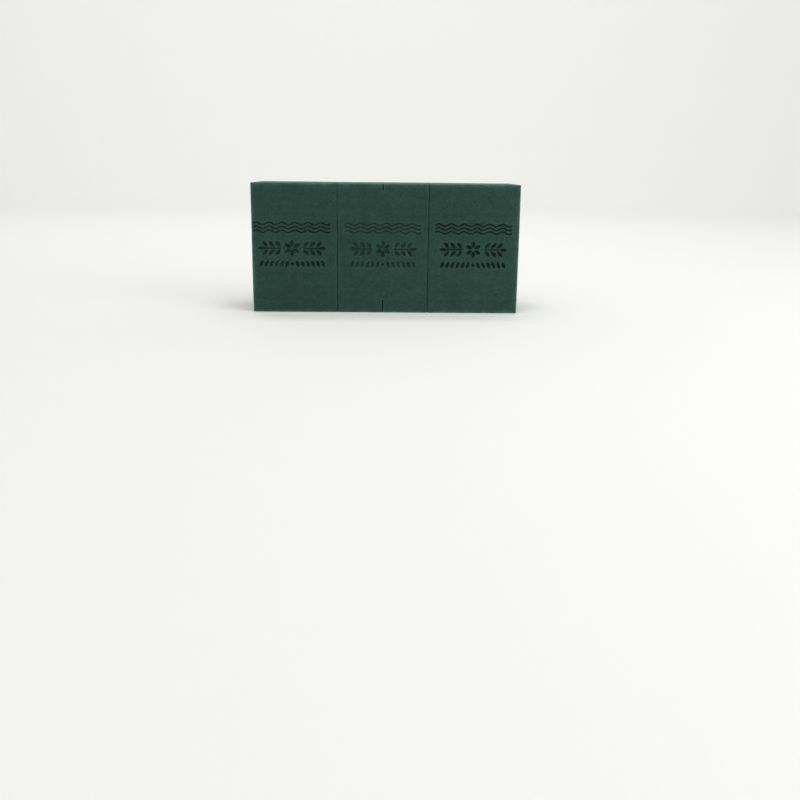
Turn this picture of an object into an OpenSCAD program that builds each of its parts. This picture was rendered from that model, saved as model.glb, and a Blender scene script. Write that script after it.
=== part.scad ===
// Floral foam brick: one block of rigid green phenolic foam, 230 x 80 x 110 mm,
// standing on a long narrow side with its stamped face to the front (-Y).
// Two score lines divide the stamped face into three sections, and each section
// is one solid here. The solids meet on the flat planes behind the score lines,
// where the brick is cut by hand. X runs to the right, Y to the back and Z up,
// and the origin is the middle of the base.

/* [Brick] */
// Length of the brick, left to right
brick_length = 230; // [226:1:245]
// Thickness of the brick, front to back
brick_depth = 80; // [60:1:100]
// Height of the brick as it stands
brick_height = 110; // [100:1:130]

/* [Score lines] */
// Distance between the two score lines, and one repeat of the stamped pattern
score_pitch = 78; // [77:0.5:82]
// How far the stamped pattern lies to the left of the middle of the brick
pattern_shift = 2.5; // [0:0.5:2.5]
// Width of a score line at the surface
score_width = 1.8; // [1:0.1:3]
// Depth of a score line
score_depth = 3; // [1:0.5:6]

/* [Half marks] */
// Length of the upper mark that shows where to halve the brick
upper_mark_length = 6; // [3:0.5:12]
// Length of the lower half mark
lower_mark_length = 11; // [3:0.5:20]
// Width of a half mark
half_mark_width = 1.6; // [1:0.1:3]
// Depth of a half mark
half_mark_depth = 2.5; // [1:0.5:5]

/* [Stamped ornament] */
// Height above the base of the middle of the flower
ornament_height = 55; // [50:1:62]
// Depth of the ornament on the left section
left_stamp_depth = 1.2; // [0.4:0.1:2]
// Depth of the ornament on the centre section
centre_stamp_depth = 0.9; // [0.4:0.1:2]
// Depth of the ornament on the right section
right_stamp_depth = 1.5; // [0.4:0.1:2]
// Width of the stamped water lines
water_line_width = 1.8; // [1:0.1:2]
// Number of waves side by side in each water line
wave_count = 6; // [4:1:8]
// Number of petals on the flower
petal_count = 6; // [5:1:7]
// Number of leaf pairs on each side of the flower
leaf_pair_count = 3; // [2:1:3]
// Number of grass blades on each side of the seed in the lowest row
blade_count = 6; // [4:1:6]

/* [Hidden] */

foam_green = [0.165, 0.275, 0.24];
cut_clearance = 1;

// Ends of the brick, and planes where the sections meet
left_end = -brick_length / 2;
left_cut = -pattern_shift - score_pitch / 2;
right_cut = -pattern_shift + score_pitch / 2;
right_end = brick_length / 2;
front = -brick_depth / 2;
back = brick_depth / 2;

// Upper row of the ornament: water lines above each other
water_row_length = 66;
water_row_rise = 17.6;
water_line_count = 3;
water_line_gap = 3.2;
wave_swing = 1;
wave_steps = 12;

// Middle row: a flower between two sprigs
flower_radius = 7.4;
petal_length = 6.2;
petal_width = 3.6;
sprig_start = 9.5;
sprig_end = 29.5;
stem_width = 1.4;
leaf_length = 6.8;
leaf_width = 3.4;
leaf_angle = 48;
leaf_spread = 3.6;
first_leaf_step = 2.6;

// Lowest row: grass blades that lean towards a round seed
blade_row_drop = 13.2;
blade_row_reach = 26.6;
blade_length = 6.6;
blade_width = 3.2;
blade_tilt = 24;
seed_radius = 1.5;

// A pointed leaf along X: the shape that two crossing circles share
module leaf(length, width) {
    radius = (length * length + width * width) / (4 * width);
    intersection_for (side = [-1, 1])
        translate([0, side * (radius - width / 2)])
            circle(r = radius, $fn = 120);
}

// Points of one edge of a water line, at a height above the line's middle
function water_edge(height) = [
    for (i = [0 : wave_count * wave_steps])
        [
            water_row_length * (i / (wave_count * wave_steps) - 0.5),
            height + wave_swing * sin(360 * i / wave_steps)
        ]
];

function backwards(points) = [for (i = [len(points) - 1 : -1 : 0]) points[i]];

module water_line() {
    half_width = water_line_width / 2;
    polygon(concat(water_edge(-half_width), backwards(water_edge(half_width))));
}

module water_row() {
    for (i = [0 : water_line_count - 1])
        translate([0, (i - (water_line_count - 1) / 2) * water_line_gap])
            water_line();
}

module flower() {
    for (i = [0 : petal_count - 1])
        rotate(90 + i * 360 / petal_count)
            translate([flower_radius - petal_length / 2, 0])
                leaf(petal_length, petal_width);
}

// A stem to the right, with leaf pairs along it and one leaf on its tip
module sprig() {
    tip_middle = sprig_end - leaf_length / 2;
    leaf_step = (tip_middle - sprig_start) / leaf_pair_count;
    translate([sprig_start, -stem_width / 2])
        square([tip_middle - sprig_start, stem_width]);
    translate([tip_middle, 0])
        leaf(leaf_length, leaf_width);
    for (i = [0 : leaf_pair_count - 1])
        for (side = [-1, 1])
            translate([sprig_start + first_leaf_step + i * leaf_step, side * leaf_spread])
                rotate(side * leaf_angle)
                    leaf(leaf_length, leaf_width);
}

// Grass blades from the middle to the right
module blades() {
    for (i = [1 : blade_count])
        translate([i * blade_row_reach / blade_count, 0])
            rotate(90 + blade_tilt)
                leaf(blade_length, blade_width);
}

module both_sides() {
    children();
    mirror([1, 0]) children();
}

// The whole ornament, flat, around the middle of the flower
module ornament() {
    translate([0, water_row_rise])
        water_row();
    flower();
    both_sides()
        sprig();
    translate([0, -blade_row_drop]) {
        circle(r = seed_radius, $fn = 48);
        both_sides()
            blades();
    }
}

// What the stamp presses into the front face, around the middle of one section
module stamp(middle, depth) {
    translate([middle, front + depth, ornament_height])
        rotate([90, 0, 0])
            linear_extrude(height = depth + cut_clearance)
                ornament();
}

// A block of foam between two planes. A scored side has half of a score line's
// V along its front edge.
module foam_block(from, to, left_scored, right_scored) {
    left_mouth = left_scored
        ? [[from, front + score_depth], [from + score_width / 2, front]]
        : [[from, front]];
    right_mouth = right_scored
        ? [[to - score_width / 2, front], [to, front + score_depth]]
        : [[to, front]];
    linear_extrude(height = brick_height)
        polygon(concat([[from, back]], left_mouth, right_mouth, [[to, back]]));
}

// A short upright slot in the front face, from one height to another
module half_mark(bottom, top) {
    translate([-pattern_shift - half_mark_width / 2, front - cut_clearance, bottom])
        cube([half_mark_width, half_mark_depth + cut_clearance, top - bottom]);
}

module left_section() {
    color(foam_green)
        difference() {
            foam_block(left_end, left_cut, false, true);
            stamp(-pattern_shift - score_pitch, left_stamp_depth);
        }
}

module centre_section() {
    color(foam_green)
        difference() {
            foam_block(left_cut, right_cut, true, true);
            stamp(-pattern_shift, centre_stamp_depth);
            half_mark(-cut_clearance, lower_mark_length);
            half_mark(brick_height - upper_mark_length, brick_height + cut_clearance);
        }
}

module right_section() {
    color(foam_green)
        difference() {
            foam_block(right_cut, right_end, true, false);
            stamp(-pattern_shift + score_pitch, right_stamp_depth);
        }
}

left_section();
centre_section();
right_section();
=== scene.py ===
"""Looks of the floral foam brick: three sections of dry foam on a pale studio floor.

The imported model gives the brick's box and the planes where its sections meet. Each section
is rebuilt here as one closed mesh with its score lines, half marks and stamped ornament in
the surface, worn edges, saw marks and pits. Shapes are worked out in millimetres and stored
in metres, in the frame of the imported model.
"""
import math

import bpy
import numpy as np
from mathutils import Matrix, Vector
from mathutils.geometry import delaunay_2d_cdt


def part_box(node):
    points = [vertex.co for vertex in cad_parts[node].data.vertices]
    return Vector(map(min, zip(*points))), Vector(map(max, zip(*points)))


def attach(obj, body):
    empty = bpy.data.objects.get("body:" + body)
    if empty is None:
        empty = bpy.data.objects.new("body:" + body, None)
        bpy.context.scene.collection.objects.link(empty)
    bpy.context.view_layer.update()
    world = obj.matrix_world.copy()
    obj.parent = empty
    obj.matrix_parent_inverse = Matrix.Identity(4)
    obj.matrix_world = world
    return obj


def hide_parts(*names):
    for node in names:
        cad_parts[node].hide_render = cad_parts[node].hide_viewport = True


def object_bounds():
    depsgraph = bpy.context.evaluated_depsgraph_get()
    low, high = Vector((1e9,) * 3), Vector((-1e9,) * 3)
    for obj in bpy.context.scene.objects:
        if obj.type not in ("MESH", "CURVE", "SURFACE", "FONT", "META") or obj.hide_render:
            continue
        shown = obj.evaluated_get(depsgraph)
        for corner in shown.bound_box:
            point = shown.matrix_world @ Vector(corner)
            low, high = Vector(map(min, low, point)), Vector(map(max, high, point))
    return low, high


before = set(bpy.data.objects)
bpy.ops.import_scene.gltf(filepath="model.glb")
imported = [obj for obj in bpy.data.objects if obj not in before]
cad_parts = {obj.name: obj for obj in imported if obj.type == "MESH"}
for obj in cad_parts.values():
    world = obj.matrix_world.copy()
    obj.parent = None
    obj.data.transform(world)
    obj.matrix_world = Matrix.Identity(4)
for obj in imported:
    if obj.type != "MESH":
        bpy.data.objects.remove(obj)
cad_low, cad_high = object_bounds()

MM = 0.001
ROUND_MM = 3  # decimals kept in millimetres, so that equal places compare as equal
X, Y, Z = 0, 1, 2


def in_mm(corner):
    """A corner given in metres, in millimetres."""
    return np.array([round(value / MM, ROUND_MM) for value in corner])


# ---------------------------------------------------------------- the brick, in millimetres
LOW = in_mm(cad_low)
HIGH = in_mm(cad_high)
LEFT, FRONT, BOTTOM = LOW
RIGHT, BACK, TOP = HIGH
LEFT_CUT = in_mm(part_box("left_section")[1])[0]
RIGHT_CUT = in_mm(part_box("right_section")[0])[0]
PITCH = RIGHT_CUT - LEFT_CUT
PATTERN_MIDDLE = (LEFT_CUT + RIGHT_CUT) / 2

# Score lines and half marks
SCORE_HALF_WIDTH = 0.9
SCORE_DEPTH = 3.0
MARK_HALF_WIDTH = 0.75
MARK_DEPTH = 2.5
UPPER_MARK_LENGTH = 6.0
LOWER_MARK_LENGTH = 11.0

# Stamped ornament
LEFT_STAMP_DEPTH = 1.2
CENTRE_STAMP_DEPTH = 0.9
RIGHT_STAMP_DEPTH = 1.5
ORNAMENT_HEIGHT = 55.0
WATER_HALF_LENGTH = 33.0
WATER_RISE = 17.6
WATER_LINE_COUNT = 3
WATER_GAP = 3.2
WAVE_SWING = 1.0
WAVE_COUNT = 6
LINE_WIDTH = 1.8
PETAL_COUNT = 6
FLOWER_RADIUS = 7.4
PETAL_LENGTH = 6.2
PETAL_WIDTH = 3.6
SPRIG_START = 9.5
SPRIG_END = 29.5
STEM_WIDTH = 1.4
LEAF_PAIRS = 3
LEAF_LENGTH = 6.8
LEAF_WIDTH = 3.4
LEAF_ANGLE = math.radians(48)
LEAF_SPREAD = 3.6
FIRST_LEAF_STEP = 2.6
BLADE_DROP = 13.2
BLADE_REACH = 26.6
BLADE_COUNT = 6
BLADE_LENGTH = 6.6
BLADE_WIDTH = 3.2
BLADE_TILT = math.radians(24)
SEED_RADIUS = 1.5

# How the stamp's walls stand in the foam, and how near to them a mesh point is moved onto them
WALL_RUN = 0.3
SNAP_REACH = 0.2
STEEP_ENOUGH = 0.5
SLOPE_PROBE = 0.02
LEAST_QUAD_SHARE = 0.02
UNFOLD_ROUNDS = 4

# Mesh lines
EDGE_OFFSETS = (0.0, 0.12, 0.25, 0.4, 0.6, 0.85, 1.2)
SCORE_OFFSETS = (0.0, 0.15, 0.3, 0.45, 0.6, 0.75, 0.9, 1.05, 1.3)
FRONT_STEP = 0.42
ORNAMENT_STEP = 0.38
PLAIN_STEP = 0.6
BACK_STEP = 0.8
ORNAMENT_MARGIN = 1.2
COLLAR_STEP = 0.5
LINE_DECIMALS = 4
SHARP_ANGLE = math.radians(42)

# Cut faces
CUT_STEP = 5.0
INSIDE_TRIANGLES = 1  # delaunay_2d_cdt's mode that keeps only what lies inside the border
CUT_TOLERANCE = 1e-6

RNG = np.random.default_rng(230)


# ---------------------------------------------------------------- noise
LATTICE = 48
LAYER_STEP = 17.3
LATTICE_START = 5.1
TABLE = RNG.random((LATTICE, LATTICE, LATTICE))


def noise(points, period, layer):
    """Smooth noise from -1 to 1, one wave about every two periods, at points in millimetres.
    Each layer number gives a pattern of its own."""
    cell = points / np.asarray(period, float) + LAYER_STEP * layer + LATTICE_START
    whole = np.floor(cell).astype(int)
    part = cell - whole
    part = part * part * (3 - 2 * part)
    total = np.zeros(len(points))
    for corner in range(8):
        step = np.array([corner & 1, corner >> 1 & 1, corner >> 2 & 1])
        weight = np.prod(np.where(step, part, 1 - part), axis=1)
        index = (whole + step) % LATTICE
        total += weight * TABLE[index[:, 0], index[:, 1], index[:, 2]]
    return 2 * total - 1


def smoothstep(low, high, value):
    """0 below low, 1 above high, and an S-curve in between."""
    t = np.clip((value - low) / (high - low), 0, 1)
    return t * t * (3 - 2 * t)


# ---------------------------------------------------------------- the stamp, as distances
def leaf_distance(x, z, middle_x, middle_z, angle, length, width):
    """Distance to a pointed leaf's outline, below 0 inside it."""
    radius = (length**2 + width**2) / (4 * width)
    along = (x - middle_x) * math.cos(angle) + (z - middle_z) * math.sin(angle)
    across = (z - middle_z) * math.cos(angle) - (x - middle_x) * math.sin(angle)
    return np.hypot(along, np.abs(across) + radius - width / 2) - radius


def bar_distance(x, z, middle_x, middle_z, half_x, half_z):
    """Distance to an upright rectangle's outline, below 0 inside it."""
    return np.maximum(np.abs(x - middle_x) - half_x, np.abs(z - middle_z) - half_z)


def water_distance(x, z):
    """The water lines above each other, all in step."""
    turn = math.tau * WAVE_COUNT / (2 * WATER_HALF_LENGTH)
    crest = WAVE_SWING * np.sin(turn * (x + WATER_HALF_LENGTH))
    slope = WAVE_SWING * turn * np.cos(turn * (x + WATER_HALF_LENGTH))
    lines = [
        np.abs(z - crest - (i - (WATER_LINE_COUNT - 1) / 2) * WATER_GAP) / np.sqrt(1 + slope**2)
        - LINE_WIDTH / 2
        for i in range(WATER_LINE_COUNT)
    ]
    return np.maximum(np.minimum.reduce(lines), np.abs(x) - WATER_HALF_LENGTH)


def flower_distance(x, z):
    """The petals round the middle, the first one pointing up."""
    reach = FLOWER_RADIUS - PETAL_LENGTH / 2
    angles = [math.pi / 2 + i * math.tau / PETAL_COUNT for i in range(PETAL_COUNT)]
    petals = [
        leaf_distance(
            x, z, reach * math.cos(angle), reach * math.sin(angle), angle, PETAL_LENGTH, PETAL_WIDTH
        )
        for angle in angles
    ]
    return np.minimum.reduce(petals)


def sprig_distance(x, z):
    """The right sprig. Both sides are mirror images, so it's asked with x above 0."""
    tip = SPRIG_END - LEAF_LENGTH / 2
    step = (tip - SPRIG_START) / LEAF_PAIRS
    stem_half = (tip - SPRIG_START) / 2
    shapes = [
        bar_distance(x, z, SPRIG_START + stem_half, 0, stem_half, STEM_WIDTH / 2),
        leaf_distance(x, z, tip, 0, 0, LEAF_LENGTH, LEAF_WIDTH),
    ]
    for i in range(LEAF_PAIRS):
        middle = SPRIG_START + FIRST_LEAF_STEP + i * step
        shapes.append(
            leaf_distance(x, np.abs(z), middle, LEAF_SPREAD, LEAF_ANGLE, LEAF_LENGTH, LEAF_WIDTH)
        )
    return np.minimum.reduce(shapes)


def blade_distance(x, z):
    """The grass blades on the right, and the seed in the middle."""
    step = BLADE_REACH / BLADE_COUNT
    angle = math.pi / 2 + BLADE_TILT
    shapes = [
        leaf_distance(x, z, i * step, 0, angle, BLADE_LENGTH, BLADE_WIDTH)
        for i in range(1, BLADE_COUNT + 1)
    ]
    return np.minimum.reduce(shapes + [np.hypot(x, z) - SEED_RADIUS])


def ornament_distance(x, z):
    """Distance to the ornament's outline, with x and z from the middle of its flower."""
    side = np.abs(x)
    return np.minimum.reduce(
        [
            water_distance(x, z - WATER_RISE),
            flower_distance(x, z),
            sprig_distance(side, z),
            blade_distance(side, z + BLADE_DROP),
        ]
    )


def marks_distance(x, z):
    """Distance to the two half marks, which run out past the top and the bottom."""
    upper_end = TOP - UPPER_MARK_LENGTH
    upper = bar_distance(x, z, PATTERN_MIDDLE, upper_end + TOP, MARK_HALF_WIDTH, TOP)
    lower_end = BOTTOM + LOWER_MARK_LENGTH
    lower = bar_distance(x, z, PATTERN_MIDDLE, lower_end - TOP, MARK_HALF_WIDTH, TOP)
    return np.minimum(upper, lower)


# ---------------------------------------------------------------- one section's mesh lines
def evenly(start, stop, step):
    """Lines from start to stop without stop, in an even number of steps."""
    count = 2 * math.ceil((stop - start) / step / 2)
    return np.linspace(start, stop, count, endpoint=False)


def lines_between(low, high, low_offsets, high_offsets, stretches):
    """Mesh lines from low to high. Stretches are (where it ends, step) pairs in between."""
    first = [low + offset for offset in low_offsets[:-1]]
    last = [high - offset for offset in reversed(high_offsets)]
    parts = [first]
    start = low + low_offsets[-1]
    for stop, step in stretches[:-1]:
        parts.append(evenly(start, stop, step))
        start = stop
    parts.append(evenly(start, last[0], stretches[-1][1]))
    parts.append(last)
    return np.round(np.concatenate(parts), LINE_DECIMALS)


def on_face(axis, value, u_axis, v_axis):
    """A function that places u and v arrays on the plane where the axis has the value."""

    def place(u, v):
        points = np.empty((len(u), 3))
        points[:, axis] = value
        points[:, u_axis] = u
        points[:, v_axis] = v
        return points

    return place


class Skin:
    """Patches of a section's surface on the plain box, collected before they are joined."""

    def __init__(self):
        self.points = []
        self.faces = []
        self.count = 0

    def add(self, points, faces):
        self.points.append(points)
        self.faces += [[corner + self.count for corner in face] for face in faces]
        self.count += len(points)

    def grid(self, place, us, vs, flip):
        """Quads over lines us and vs. place turns u and v arrays into points."""
        u, v = np.meshgrid(us, vs, indexing="ij")
        points = place(u.ravel(), v.ravel())
        index = np.arange(u.size).reshape(u.shape)
        quads = np.stack(
            [index[:-1, :-1], index[1:, :-1], index[1:, 1:], index[:-1, 1:]], axis=-1
        ).reshape(-1, 4)
        self.add(points, (quads[:, ::-1] if flip else quads).tolist())

    def halving(self, place, us, fine_v, coarse_v, flip):
        """A strip that joins every line of us at fine_v to every second line at coarse_v."""
        coarse = us[::2]
        points = np.concatenate(
            [
                place(us, np.full(len(us), fine_v)),
                place(coarse, np.full(len(coarse), coarse_v)),
            ]
        )
        faces = []
        for k in range(len(coarse) - 1):
            near = 2 * k
            far = len(us) + k
            faces += [
                [near, near + 1, far],
                [near + 1, far + 1, far],
                [near + 1, near + 2, far + 1],
            ]
        self.add(points, [face[::-1] for face in faces] if flip else faces)

    def side(self, place, us, collar, vs, flip):
        """A face beside the front: every line of us at the collar, every second one behind it."""
        self.grid(place, us, collar, flip)
        self.halving(place, us, collar[-1], vs[0], flip)
        self.grid(place, us[::2], vs, flip)

    def joined(self):
        """All patches as one set of points and faces."""
        points = np.concatenate(self.points)
        _, first, where = np.unique(
            np.round(points, ROUND_MM), axis=0, return_index=True, return_inverse=True
        )
        where = where.ravel()
        return points[first], [[int(where[corner]) for corner in face] for face in self.faces]


# ---------------------------------------------------------------- how the foam's surface lies
# Worn arrises and corners
EDGE_RADIUS = 0.34
EDGE_RADIUS_SWING = 0.16
EDGE_WAVE = 1.9
LEAST_RADIUS = 0.1
TINY_LENGTH = 1e-6
CHIP_RADIUS = 1.0
CHIP_PERIOD = 4.5
CHIP_FROM, CHIP_FULL = 0.5, 0.95
CORNER_RADIUS = 0.5
CORNER_REACH = 3.0

# Sawn faces: broad waves, marks of the saw across each face, and grain
WAVE_HEIGHT = 0.09
WAVE_PERIOD = 38
SAW_HEIGHT = 0.022
SAW_RUN, SAW_PERIOD = 55, 1.0
BROAD_SAW_RUN, BROAD_SAW_PERIOD = 90, 2.6
BROAD_SAW_SHARE = 0.7
GRAIN_HEIGHT, GRAIN_PERIOD = 0.035, 0.95
COARSE_GRAIN_HEIGHT, COARSE_GRAIN_PERIOD = 0.03, 2.3

# Open bubbles
PIT_COUNT = 420
PIT_RADIUS = (0.45, 1.15)
PIT_STEEPNESS = 0.55
PIT_SMALLNESS = 3  # the higher, the more of them are small
PIT_BOWL = 1.5

# Score lines, marks and stamp
PRESS_FADE = 9.0
SCORE_WIDTH_SWING, SCORE_WIDTH_PERIOD = 0.12, 3.0
FAINT_LOSS = 0.45
STAMP_SWING, STAMP_SWING_PERIOD = 0.22, 9
STAMP_FLOOR_NOISE, STAMP_FLOOR_PERIOD = 0.12, 0.8

# Darker foam in the recesses: crushed foam and painted shade in the stamp, in full at the deepest
# stamp, and painted shade along the middle of a score line
FULL_STAMP_DEPTH = RIGHT_STAMP_DEPTH
CUT_SHADE = 1.5
CRUSHED_SHADE_RIM = 0.12

# Paler foam beside the stamp and along the arrises: worn powder, and painted highlight where the
# edges catch the light
RIM_REACH = 0.5
RIM_WEAR_AND_HIGHLIGHT = 0.4
WEAR_AND_HIGHLIGHT_REACH = 1.1


def random_pits():
    """Centres, radii and depths of small open bubbles, spread evenly over the brick's faces."""
    size = HIGH - LOW
    areas = np.array([size[Y] * size[Z], size[X] * size[Z], size[X] * size[Y]])
    axes = RNG.choice(3, PIT_COUNT, p=areas / areas.sum())
    centres = LOW + RNG.random((PIT_COUNT, 3)) * size
    sides = RNG.random(PIT_COUNT) < 0.5
    rows = np.arange(PIT_COUNT)
    centres[rows, axes] = np.where(sides, LOW[axes], HIGH[axes])
    low, high = PIT_RADIUS
    radii = low + (high - low) * RNG.random(PIT_COUNT) ** PIT_SMALLNESS
    depths = radii * PIT_STEEPNESS * (1 + RNG.random(PIT_COUNT)) / 2
    return centres, radii, depths


PITS = list(zip(*random_pits()))


def pit_depth(points):
    """How far each point lies down in an open bubble."""
    total = np.zeros(len(points))
    for centre, radius, depth in PITS:
        near = np.flatnonzero(np.abs(points - centre).max(axis=1) < radius)
        share = ((points[near] - centre) ** 2).sum(axis=1) / radius**2
        total[near] = np.maximum(total[near], depth * np.clip(1 - share, 0, 1) ** PIT_BOWL)
    return total


def edge_gap(points):
    """How far each surface point is from the nearest arris of the brick."""
    gaps = np.minimum(points - LOW, HIGH - points)
    return np.sort(gaps, axis=1)[:, 1]


def corner_gap(points):
    """How far each surface point is from the nearest corner of the brick."""
    return np.minimum(points - LOW, HIGH - points).max(axis=1)


def rounded(points):
    """Points with the brick's arrises worn round, and the outward direction at each."""
    radius = EDGE_RADIUS + EDGE_RADIUS_SWING * noise(points, EDGE_WAVE, 1)
    radius += CHIP_RADIUS * smoothstep(CHIP_FROM, CHIP_FULL, noise(points, CHIP_PERIOD, 2))
    radius += CORNER_RADIUS * np.exp(-corner_gap(points) / CORNER_REACH)
    radius = np.maximum(radius, LEAST_RADIUS)[:, None]
    core = np.clip(points, LOW + radius, HIGH - radius)
    out = points - core
    length = np.linalg.norm(out, axis=1, keepdims=True)
    normal = np.divide(out, length, out=np.zeros_like(out), where=length > TINY_LENGTH)
    return core + normal * np.minimum(length, radius), normal


def saw_marks(points, across, layer):
    """Fine and broad marks that run along the face and follow each other along one axis."""
    fine = np.full(3, SAW_RUN, float)
    broad = np.full(3, BROAD_SAW_RUN, float)
    fine[across] = SAW_PERIOD
    broad[across] = BROAD_SAW_PERIOD
    return noise(points, fine, layer) + BROAD_SAW_SHARE * noise(points, broad, layer + 1)


def relief(points, normal):
    """How far the sawn surface lies under the ideal one."""
    wave = WAVE_HEIGHT * (1 + noise(points, WAVE_PERIOD, 3))
    flat_share = np.abs(normal[:, Z])
    upright_marks = (1 - flat_share) * saw_marks(points, Z, 4)
    saw = SAW_HEIGHT * (2 + upright_marks + flat_share * saw_marks(points, Y, 6))
    grain = GRAIN_HEIGHT * (1 + noise(points, GRAIN_PERIOD, 8))
    grain += COARSE_GRAIN_HEIGHT * (1 + noise(points, COARSE_GRAIN_PERIOD, 9))
    return wave + saw + grain + pit_depth(points)


def front_share(points):
    """1 at the front face, falling to 0 where the stamp is no longer felt."""
    return np.clip(1 - (points[:, Y] - FRONT) / PRESS_FADE, 0, 1)


def slide(x, z, distance):
    """How far mesh points beside a stamped outline move to lie on the top or foot of its wall."""
    probe = SLOPE_PROBE
    here = distance(x, z)
    slope_x = (distance(x + probe, z) - distance(x - probe, z)) / (2 * probe)
    slope_z = (distance(x, z + probe) - distance(x, z - probe)) / (2 * probe)
    steep = slope_x**2 + slope_z**2
    goal = np.where(here > -WALL_RUN / 2, 0, -WALL_RUN)
    near = np.abs(here + WALL_RUN / 2) < WALL_RUN / 2 + SNAP_REACH
    move = np.where(
        near & (steep > STEEP_ENOUGH), (goal - here) / np.maximum(steep, STEEP_ENOUGH), 0
    )
    return slope_x * move, slope_z * move


def unfolded(points, moved, quads):
    """Puts points back where their move would fold or flatten a quad of the front face."""
    least = LEAST_QUAD_SHARE * FRONT_STEP * ORNAMENT_STEP
    for _ in range(UNFOLD_ROUNDS):
        flat = moved[:, [X, Z]][quads]
        folded = np.zeros(len(quads), bool)
        for corner in range(4):
            a = flat[:, corner - 1] - flat[:, corner]
            b = flat[:, (corner + 1) % 4] - flat[:, corner]
            folded |= b[:, 0] * a[:, 1] - b[:, 1] * a[:, 0] < least
        at = np.unique(quads[folded])
        moved[at] = points[at]
    return moved


class Section:
    """One section of the brick, between two planes. Its stamp fades towards the fainter side,
    which is -1 for the left, 1 for the right and 0 for neither. A marked one has half marks."""

    def __init__(self, name, low_x, high_x, stamp_depth, stamp_middle, fainter_side, marked):
        self.name = name
        self.low_x = low_x
        self.high_x = high_x
        self.stamp_depth = stamp_depth
        self.stamp_middle = stamp_middle
        self.fainter_side = fainter_side
        self.marked = marked

    def ornament(self, x, z):
        return ornament_distance(x - self.stamp_middle, z - ORNAMENT_HEIGHT)

    def outline(self, x, z):
        """Distance to every stamped or cut outline on the front."""
        if not self.marked:
            return self.ornament(x, z)
        return np.minimum(self.ornament(x, z), marks_distance(x, z))

    def lines(self):
        """Mesh lines along X and Z, and along Y in the collar behind the front and behind that."""
        low_offsets = EDGE_OFFSETS if self.low_x == LEFT else SCORE_OFFSETS
        high_offsets = EDGE_OFFSETS if self.high_x == RIGHT else SCORE_OFFSETS
        xs = lines_between(
            self.low_x, self.high_x, low_offsets, high_offsets, [(None, FRONT_STEP)]
        )
        ornament_low = ORNAMENT_HEIGHT - BLADE_DROP - BLADE_LENGTH / 2 - ORNAMENT_MARGIN
        ornament_high = (
            ORNAMENT_HEIGHT + WATER_RISE + WATER_GAP * (WATER_LINE_COUNT - 1) / 2
            + WAVE_SWING + ORNAMENT_MARGIN
        )
        zs = lines_between(
            BOTTOM,
            TOP,
            EDGE_OFFSETS,
            EDGE_OFFSETS,
            [(ornament_low, PLAIN_STEP), (ornament_high, ORNAMENT_STEP), (None, PLAIN_STEP)],
        )
        collar = FRONT + np.array(EDGE_OFFSETS)
        ys = lines_between(
            collar[-1] + COLLAR_STEP, BACK, (0.0,), EDGE_OFFSETS, [(None, BACK_STEP)]
        )
        return xs, zs, collar, ys

    def skin(self):
        """The section's surface on the plain box, apart from the planes it is cut on."""
        xs, zs, collar, ys = self.lines()
        skin = Skin()
        skin.grid(on_face(Y, FRONT, X, Z), xs, zs, False)
        skin.grid(on_face(Y, BACK, X, Z), xs[::2], zs[::2], True)
        skin.side(on_face(Z, BOTTOM, X, Y), xs, collar, ys, True)
        skin.side(on_face(Z, TOP, X, Y), xs, collar, ys, False)
        if self.low_x == LEFT:
            skin.side(on_face(X, LEFT, Z, Y), zs, collar, ys, False)
        if self.high_x == RIGHT:
            skin.side(on_face(X, RIGHT, Z, Y), zs, collar, ys, True)
        return skin.joined()

    def pressed_in(self, points):
        """How deep the score lines, marks and ornament go at each point's x and z, and how dark the
        foam is painted there: crushed foam and painted shade in the stamp, painted shade in the
        score lines and half marks."""
        x, z = points[:, X], points[:, Z]
        line_gap = np.minimum(np.abs(x - LEFT_CUT), np.abs(x - RIGHT_CUT))
        swing = SCORE_WIDTH_SWING * noise(points * (0, 0, 1), SCORE_WIDTH_PERIOD, 10)
        half_width = SCORE_HALF_WIDTH * (1 + swing)
        score = SCORE_DEPTH * np.clip(1 - line_gap / half_width, 0, 1)
        fainter = np.clip((x - self.stamp_middle) * self.fainter_side / (PITCH / 2), 0, 1)
        strength = 1 + STAMP_SWING * noise(points, STAMP_SWING_PERIOD, 11)
        strength *= 1 - FAINT_LOSS * fainter
        gap = self.ornament(x, z)
        share = np.clip(-gap / WALL_RUN, 0, 1)
        rough = 1 + STAMP_FLOOR_NOISE * noise(points, STAMP_FLOOR_PERIOD, 12)
        depth = np.maximum(score, self.stamp_depth * share * strength * rough)
        # Darker in the stamp and a little past its outline: crushed foam and painted shade
        crushed_and_shade = np.clip(1 - gap / CRUSHED_SHADE_RIM, 0, 1) * self.stamp_depth * strength
        # Painted shade along the middle of the score lines
        cut = np.clip(CUT_SHADE * (1 - line_gap / half_width), 0, 1)
        crushed_and_shade = np.maximum(crushed_and_shade / FULL_STAMP_DEPTH, cut)
        if self.marked:
            mark = np.clip(-marks_distance(x, z) / WALL_RUN, 0, 1)
            depth = np.maximum(depth, MARK_DEPTH * mark * rough)
            # Painted shade in the half marks
            crushed_and_shade = np.maximum(crushed_and_shade, mark)
        return depth, np.clip(crushed_and_shade, 0, 1)

    def shaped(self, base, faces):
        """Final points, how dark the foam is painted at each (crushed foam and painted shade in the
        recesses), and how pale (worn powder and painted highlight).
        """
        slide_x, slide_z = slide(base[:, X], base[:, Z], self.outline)
        slide_x[(base[:, X] == self.low_x) | (base[:, X] == self.high_x)] = 0
        slide_z[(base[:, Z] == BOTTOM) | (base[:, Z] == TOP)] = 0
        moved = base.copy()
        moved[:, X] += slide_x * front_share(base)
        moved[:, Z] += slide_z * front_share(base)
        on_front = base[:, Y] == FRONT
        quads = np.array([face for face in faces if len(face) == 4])
        moved = unfolded(base, moved, quads[on_front[quads].all(axis=1)])
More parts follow.
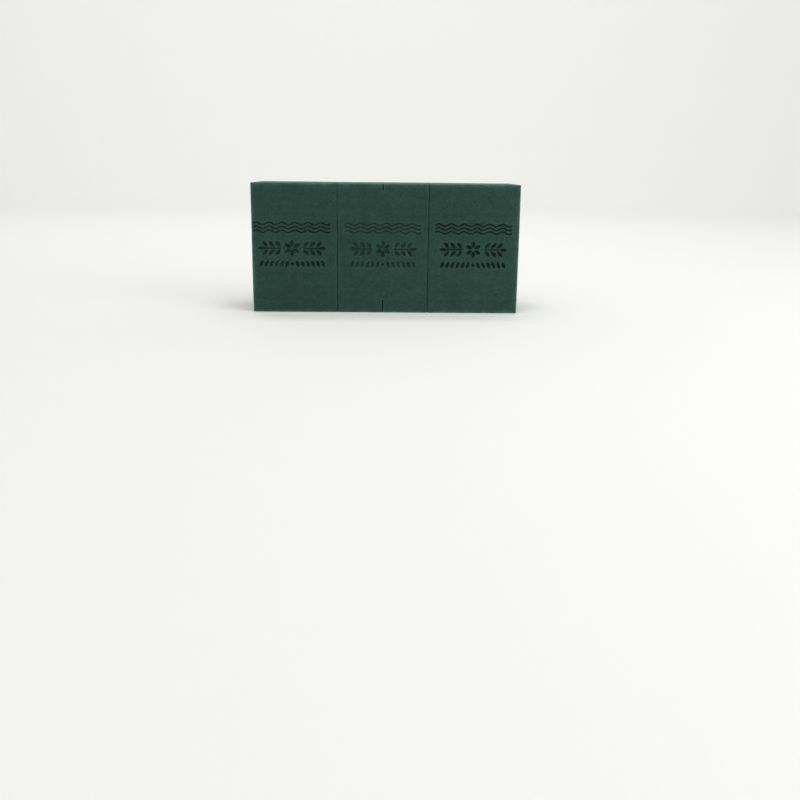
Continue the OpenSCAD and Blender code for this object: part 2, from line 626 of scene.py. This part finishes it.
        # share: how dark the foam is painted, crushed foam and painted shade in the recesses
        depth, share = self.pressed_in(moved)
        points, normal = rounded(moved)
        points -= normal * relief(moved, normal)[:, None]
        points[:, Y] += depth * front_share(points)
        gap = self.outline(moved[:, X], moved[:, Z])
        # Paler foam just outside the stamp and along the arrises: powder, and painted highlight on
        # the edges
        rim_powder_and_highlight = np.where(gap > CRUSHED_SHADE_RIM, np.exp(-gap / RIM_REACH), 0) * on_front
        worn_and_highlight = np.clip(np.exp(-edge_gap(moved) / WEAR_AND_HIGHLIGHT_REACH) + RIM_WEAR_AND_HIGHLIGHT * rim_powder_and_highlight, 0, 1)
        return points, share * on_front, worn_and_highlight

    def cut_face(self, plane, base, points):
        """The flat face on a cutting plane, as triangles between the section's own border
        points and a few points inside. Returns the new points and the triangles."""
        _, zs, collar, ys = self.lines()
        depths = np.concatenate([collar, ys])
        border = [(FRONT, z) for z in zs]
        border += [(y, TOP) for y in depths[1:]]
        border += [(BACK, z) for z in zs[::2][-2::-1]]
        border += [(y, BOTTOM) for y in depths[-2:0:-1]]
        on_plane = np.flatnonzero(base[:, X] == plane)
        found = {tuple(np.round(base[i, 1:], ROUND_MM)): int(i) for i in on_plane}
        loop = [found[tuple(np.round(place, ROUND_MM))] for place in border]
        inside = [
            (y, z)
            for y in np.arange(FRONT + 2 * CUT_STEP, BACK - CUT_STEP / 2, CUT_STEP)
            for z in np.arange(BOTTOM + CUT_STEP, TOP - CUT_STEP / 2, CUT_STEP)
        ]
        flat = [Vector(points[i, 1:]) for i in loop] + [Vector(place) for place in inside]
        edges = [(i, (i + 1) % len(loop)) for i in range(len(loop))]
        _, _, triangles, source, _, _ = delaunay_2d_cdt(
            flat, edges, [], INSIDE_TRIANGLES, CUT_TOLERANCE
        )
        names = loop + [len(base) + i for i in range(len(inside))]
        index = [names[origins[0]] for origins in source]
        turn = 1 if plane == self.high_x else -1
        new_points = np.array([(plane, y, z) for y, z in inside])
        return new_points, [[index[i] for i in triangle][::turn] for triangle in triangles]

    def mesh(self):
        """The section as one closed Blender mesh."""
        base, faces = self.skin()
        points, pressed_and_shade, worn_and_highlight = self.shaped(base, faces)
        for plane in (self.low_x, self.high_x):
            if plane in (LEFT, RIGHT):
                continue
            new_points, triangles = self.cut_face(plane, base, points)
            faces += triangles
            base = np.concatenate([base, new_points])
            points = np.concatenate([points, new_points])
            plain = np.zeros(len(new_points))
            pressed_and_shade = np.concatenate([pressed_and_shade, plain])
            worn_and_highlight = np.concatenate([worn_and_highlight, plain])
        mesh = bpy.data.meshes.new(self.name)
        mesh.from_pydata((points * MM).tolist(), [], faces)
        # Stored per point: painted shade with crushed foam in the recesses, and worn powder with
        # painted highlight
        for name, values in (("pressed_and_shade", pressed_and_shade), ("worn_and_highlight", worn_and_highlight)):
            attribute = mesh.attributes.new(name, "FLOAT", "POINT")
            attribute.data.foreach_set("value", values.astype(np.float32))
        mesh.shade_smooth()
        mesh.set_sharp_from_angle(angle=SHARP_ANGLE)
        return mesh


# ---------------------------------------------------------------- foam material
def linear(red, green, blue):
    """A colour given as 8-bit screen values, as the linear RGBA that shaders take."""
    channels = [value / 255 for value in (red, green, blue)]
    return [c / 12.92 if c <= 0.04045 else ((c + 0.055) / 1.055) ** 2.4 for c in channels] + [1]


FOAM_DEEP = linear(28, 52, 45)
FOAM_BODY = linear(39, 68, 59)
FOAM_LIGHT = linear(52, 84, 74)
# Pale worn powder, and painted highlight on the arrises and beside the stamp
FOAM_POWDER_AND_HIGHLIGHT = linear(104, 148, 138)
# Painted shade in the stamp, the score lines and the half marks, partly crushed foam in the stamp
FOAM_PRESSED_SHADE = linear(18, 40, 33)
SHEEN_TINT = linear(150, 225, 212)

# Patterns in the foam: their periods in metres, and how far each takes the tone
CLOUD_PERIOD, CLOUD_TONE = 0.030, 0.06
MOTTLE_PERIOD, MOTTLE_TONE = 0.0045, 0.07
FLECK_PERIOD, FLECK_TONE = 0.0007, 0.22
STREAK_PERIOD, STREAK_TONE = 0.0012, 0.04
STREAK_SCALE = (0.03, 0.03, 1.0)
CELLS_PER_METRE = 1500.0
CELL_RANGE = (0.1, 0.7)
CELL_TONES = (0.12, -0.2)
SOFT_RANGE = (0.35, 0.65)
FULL_RANGE = (0.3, 0.7)
MIDDLE_TONE = 0.5

# Powder and painted highlight on worn foam, in patches
POWDER_RANGE = (0.3, 0.75)
POWDER_SHARES = (0.1, 0.8)

# Bump, from shares of the patterns
CELL_BUMP = 0.9
FLECK_BUMP = 0.9
MOTTLE_BUMP = 0.4
BUMP_STRENGTH = 0.7
BUMP_DEPTH = 0.0003


class Nodes:
    """Short calls for building one material's node tree."""

    def __init__(self, material):
        material.use_nodes = True
        self.tree = material.node_tree
        self.tree.nodes.clear()

    def add(self, kind, inputs=None, **settings):
        node = self.tree.nodes.new("ShaderNode" + kind)
        for name, value in settings.items():
            setattr(node, name, value)
        for name, value in (inputs or {}).items():
            self.feed(node.inputs[name], value)
        return node

    def feed(self, socket, value):
        if isinstance(value, bpy.types.NodeSocket):
            self.tree.links.new(value, socket)
        else:
            socket.default_value = value

    def noise(self, at, period, detail=2.0, roughness=0.55):
        """Noise from 0 to 1. Its coarsest cells are two periods wide, in metres."""
        inputs = {"Vector": at, "Scale": 0.5 / period, "Detail": detail, "Roughness": roughness}
        return self.add("TexNoise", inputs).outputs["Fac"]

    def remap(self, value, low, high, new_low, new_high):
        inputs = {
            "Value": value, "From Min": low, "From Max": high, "To Min": new_low, "To Max": new_high
        }
        return self.add("MapRange", inputs).outputs["Result"]

    def maths(self, operation, a, b):
        node = self.add("Math", operation=operation)
        self.feed(node.inputs[0], a)
        self.feed(node.inputs[1], b)
        return node.outputs["Value"]

    def mixed(self, share, a, b):
        node = self.add("Mix", data_type="RGBA")
        self.feed(node.inputs["Factor"], share)
        self.feed(node.inputs[6], a)
        self.feed(node.inputs[7], b)
        return node.outputs[2]

    def attribute(self, name):
        return self.add("Attribute", attribute_name=name).outputs["Fac"]


def foam_material():
    """Matt, finely celled foam, with crushed foam and painted shade darkening the recesses, and
    powder and painted highlight on worn arrises and beside the stamp.
    """
    material = bpy.data.materials.new("dry_foam")
    nodes = Nodes(material)
    place = nodes.add("TexCoord").outputs["Object"]
    streak_place = nodes.add(
        "Mapping", {"Vector": place, "Scale": STREAK_SCALE}
    ).outputs["Vector"]

    clouds = nodes.noise(place, CLOUD_PERIOD)
    mottle = nodes.noise(place, MOTTLE_PERIOD, detail=4.0, roughness=0.6)
    flecks = nodes.noise(place, FLECK_PERIOD, roughness=0.6)
    streaks = nodes.noise(streak_place, STREAK_PERIOD)
    cells = nodes.add(
        "TexVoronoi", {"Vector": place, "Scale": CELLS_PER_METRE, "Randomness": 1.0}
    ).outputs["Distance"]

    tone = nodes.remap(clouds, *SOFT_RANGE, -CLOUD_TONE, CLOUD_TONE)
    for part in (
        nodes.remap(mottle, *FULL_RANGE, -MOTTLE_TONE, MOTTLE_TONE),
        nodes.remap(flecks, *FULL_RANGE, -FLECK_TONE, FLECK_TONE),
        nodes.remap(streaks, *SOFT_RANGE, -STREAK_TONE, STREAK_TONE),
        nodes.remap(cells, *CELL_RANGE, *CELL_TONES),
        MIDDLE_TONE,
    ):
        tone = nodes.maths("ADD", tone, part)
    ramp = nodes.add("ValToRGB", {"Fac": tone})
    stops = ramp.color_ramp.elements
    stops[0].position, stops[0].color = 0.0, FOAM_DEEP
    stops[1].position, stops[1].color = 1.0, FOAM_LIGHT
    middle = stops.new(MIDDLE_TONE)
    middle.color = FOAM_BODY

    patches = nodes.remap(mottle, *POWDER_RANGE, *POWDER_SHARES)
    worn_and_highlight = nodes.maths("MULTIPLY", nodes.attribute("worn_and_highlight"), patches)
    # Powder and painted highlight on worn arrises and beside the stamp
    powder_and_highlight = nodes.mixed(worn_and_highlight, ramp.outputs["Color"], FOAM_POWDER_AND_HIGHLIGHT)
    # Painted shade in the recesses, partly crushed foam in the stamp
    colour = nodes.mixed(nodes.attribute("pressed_and_shade"), powder_and_highlight, FOAM_PRESSED_SHADE)

    height = nodes.maths("MULTIPLY", cells, CELL_BUMP)
    height = nodes.maths("ADD", height, nodes.maths("MULTIPLY", flecks, FLECK_BUMP))
    height = nodes.maths("ADD", height, nodes.maths("MULTIPLY", mottle, MOTTLE_BUMP))
    bump = nodes.add(
        "Bump", {"Height": height, "Strength": BUMP_STRENGTH, "Distance": BUMP_DEPTH}
    )
    surface = nodes.add(
        "BsdfPrincipled",
        {
            "Base Color": colour,
            "Roughness": 0.92,
            "Specular IOR Level": 0.22,
            "Sheen Weight": 0.5,
            "Sheen Roughness": 0.35,
            "Sheen Tint": SHEEN_TINT,
            "Normal": bump.outputs["Normal"],
        },
    )
    nodes.add("OutputMaterial", {"Surface": surface.outputs["BSDF"]})
    return material


# ---------------------------------------------------------------- the brick
SECTIONS = (
    Section("left_foam", LEFT, LEFT_CUT, LEFT_STAMP_DEPTH, PATTERN_MIDDLE - PITCH, 0, False),
    Section("centre_foam", LEFT_CUT, RIGHT_CUT, CENTRE_STAMP_DEPTH, PATTERN_MIDDLE, -1, True),
    Section("right_foam", RIGHT_CUT, RIGHT, RIGHT_STAMP_DEPTH, PATTERN_MIDDLE + PITCH, 0, False),
)
NODE_OF = {
    "left_foam": "left_section",
    "centre_foam": "centre_section",
    "right_foam": "right_section",
}


def add_object(name, data):
    made = bpy.data.objects.new(name, data)
    bpy.context.scene.collection.objects.link(made)
    return made


def make_brick():
    foam = foam_material()
    for section in SECTIONS:
        piece = add_object(section.name, section.mesh())
        piece.data.materials.append(foam)
        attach(piece, "root")
        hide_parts(NODE_OF[section.name])


# ---------------------------------------------------------------- studio, in metres
FLOOR_RADIUS = 2.0
INNER_RADIUS = 0.5
SWEEP_RADIUS = 1.2
SWEEP_STEPS = 16
WALL_HEIGHT = 2.6
FLOOR_SPOKES = 96
PAPER = linear(238, 238, 236)
LIGHT_TARGET = (0.0, 0.0, 0.06)
WALL_TARGET = (0.0, 3.0, 0.6)
AIR_STRENGTH = 0.33


def make_floor():
    """A round pale floor that sweeps up into a wall all round, with an open top."""
    profile = [(INNER_RADIUS, 0.0), (FLOOR_RADIUS, 0.0)]
    for i in range(1, SWEEP_STEPS + 1):
        angle = math.pi / 2 * i / SWEEP_STEPS
        profile.append(
            (FLOOR_RADIUS + SWEEP_RADIUS * math.sin(angle), SWEEP_RADIUS * (1 - math.cos(angle)))
        )
    profile.append((FLOOR_RADIUS + SWEEP_RADIUS, WALL_HEIGHT))
    points = [(0.0, 0.0, 0.0)]
    for radius, height in profile:
        for i in range(FLOOR_SPOKES):
            turn = math.tau * i / FLOOR_SPOKES
            points.append((radius * math.cos(turn), radius * math.sin(turn), height))
    faces = [(0, 1 + i, 1 + (i + 1) % FLOOR_SPOKES) for i in range(FLOOR_SPOKES)]
    for ring in range(len(profile) - 1):
        low = 1 + ring * FLOOR_SPOKES
        high = low + FLOOR_SPOKES
        for i in range(FLOOR_SPOKES):
            j = (i + 1) % FLOOR_SPOKES
            faces.append((low + i, high + i, high + j, low + j))
    mesh = bpy.data.meshes.new("studio_floor")
    mesh.from_pydata(points, [], faces)
    mesh.shade_smooth()
    material = bpy.data.materials.new("pale_paper")
    nodes = Nodes(material)
    paper = nodes.add("BsdfPrincipled", {"Base Color": PAPER, "Roughness": 0.8})
    nodes.add("OutputMaterial", {"Surface": paper.outputs["BSDF"]})
    mesh.materials.append(material)
    add_object("studio_floor", mesh)


def add_softbox(name, place, target, size, power):
    """A square area light that faces its target, with its power in watts."""
    data = bpy.data.lights.new(name, "AREA")
    data.shape = "SQUARE"
    data.size = size
    data.energy = power
    light = add_object(name, data)
    light.location = place
    light.rotation_euler = (Vector(target) - Vector(place)).to_track_quat("-Z", "Y").to_euler()


def make_lights():
    add_softbox("top_softbox", (0.1, -0.7, 2.15), LIGHT_TARGET, size=1.6, power=22.0)
    add_softbox("key_softbox", (-1.1, -1.5, 1.9), LIGHT_TARGET, size=1.6, power=4.0)
    add_softbox("fill_softbox", (1.0, -0.8, 0.5), LIGHT_TARGET, size=0.9, power=6.5)
    add_softbox("backdrop_softbox", (0.0, 0.9, 2.4), WALL_TARGET, size=1.6, power=33.0)
    world = bpy.data.worlds.new("studio_air")
    world.use_nodes = True
    background = world.node_tree.nodes["Background"]
    background.inputs["Color"].default_value = (1.0, 1.0, 1.0, 1.0)
    background.inputs["Strength"].default_value = AIR_STRENGTH
    bpy.context.scene.world = world


# ---------------------------------------------------------------- camera
# Fitted to the front face's outline in the photograph, which leaves the lens open
CAMERA_PLACE = (-0.0044, -0.8443, 0.1232)
CAMERA_TURN = math.radians(1.29)
CAMERA_PITCH = math.radians(14.10)
CAMERA_ROLL = math.radians(0.61)
CAMERA_LENS = 41.625
SENSOR_WIDTH = 36.0


def make_camera():
    """The photograph's viewpoint: turned right from +Y, pitched down, and rolled a little."""
    data = bpy.data.cameras.new("camera")
    data.sensor_width = SENSOR_WIDTH
    data.lens = CAMERA_LENS
    data.clip_start = 0.02
    data.clip_end = 20.0
    camera = add_object("camera", data)
    ahead = Vector(
        (
            math.sin(CAMERA_TURN) * math.cos(CAMERA_PITCH),
            math.cos(CAMERA_TURN) * math.cos(CAMERA_PITCH),
            -math.sin(CAMERA_PITCH),
        )
    )
    level = Vector((math.cos(CAMERA_TURN), -math.sin(CAMERA_TURN), 0.0))
    upward = level.cross(ahead)
    right = math.cos(CAMERA_ROLL) * level + math.sin(CAMERA_ROLL) * upward
    up = math.cos(CAMERA_ROLL) * upward - math.sin(CAMERA_ROLL) * level
    turned = Matrix((right, up, -ahead)).transposed().to_4x4()
    camera.matrix_world = Matrix.Translation(CAMERA_PLACE) @ turned
    bpy.context.scene.camera = camera


make_camera()
make_floor()
make_lights()
make_brick()
bpy.context.scene.view_settings.view_transform = "Standard"
